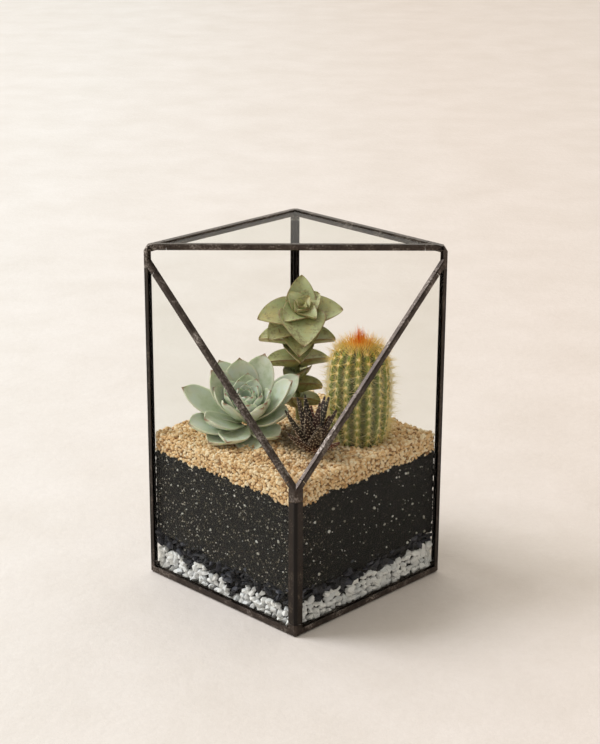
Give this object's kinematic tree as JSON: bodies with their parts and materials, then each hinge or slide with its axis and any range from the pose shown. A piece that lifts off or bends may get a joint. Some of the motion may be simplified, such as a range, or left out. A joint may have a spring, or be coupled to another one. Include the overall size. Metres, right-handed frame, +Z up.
{
  "type": "plant terrarium",
  "caption": "Square glass terrarium in dark soldered came, standing corner forward with a triangular mouth, planted with succulents on layered pebbles, charcoal, soil and gravel.",
  "frame": {"origin": "centre of the square base, on the surface it stands on", "axes": "+Z up; -Y towards the low front corner, under the mouth; +X to the right as seen from the front"},
  "size_m": [0.1682, 0.1682, 0.1985],
  "materials": {
    "patina_came": "black-brown patina, satin",
    "glass": "clear, polished",
    "white_marble": "matt, rough chips",
    "charcoal": "matt, burnt",
    "soil": "matt, loose",
    "tan_gravel": "matt grains",
    "rosette_leaf": "waxy bloom",
    "stacked_leaf": "waxy",
    "cactus_skin": "skin under spines",
    "zebra_leaf": "rough bumps"
  },
  "bodies": {
    "root": {"came_base_back_left": "patina_came", "came_base_front_right": "patina_came", "came_base_left_front": "patina_came", "came_base_right_back": "patina_came", "came_post_back": "patina_came", "came_post_front": "patina_came", "came_post_left": "patina_came", "came_post_right": "patina_came", "came_rim_left": "patina_came", "came_rim_right": "patina_came", "came_top_back_left": "patina_came", "came_top_front": "patina_came", "came_top_right_back": "patina_came", "charcoal": "charcoal", "glass_back_left": "glass", "glass_back_right": "glass", "glass_base": "glass", "glass_front_left": "glass", "glass_front_right": "glass", "glass_top": "glass", "gravel": "tan_gravel", "joint_back_foot": "patina_came", "joint_back_head": "patina_came", "joint_front_foot": "patina_came", "joint_front_head": "patina_came", "joint_left_foot": "patina_came", "joint_left_head": "patina_came", "joint_right_foot": "patina_came", "joint_right_head": "patina_came", "plant_cactus": "cactus_skin", "plant_rosette": "rosette_leaf", "plant_stack": "stacked_leaf", "plant_zebra": "zebra_leaf", "soil": "soil", "white_pebbles": "white_marble"}
  },
  "joints": []
}
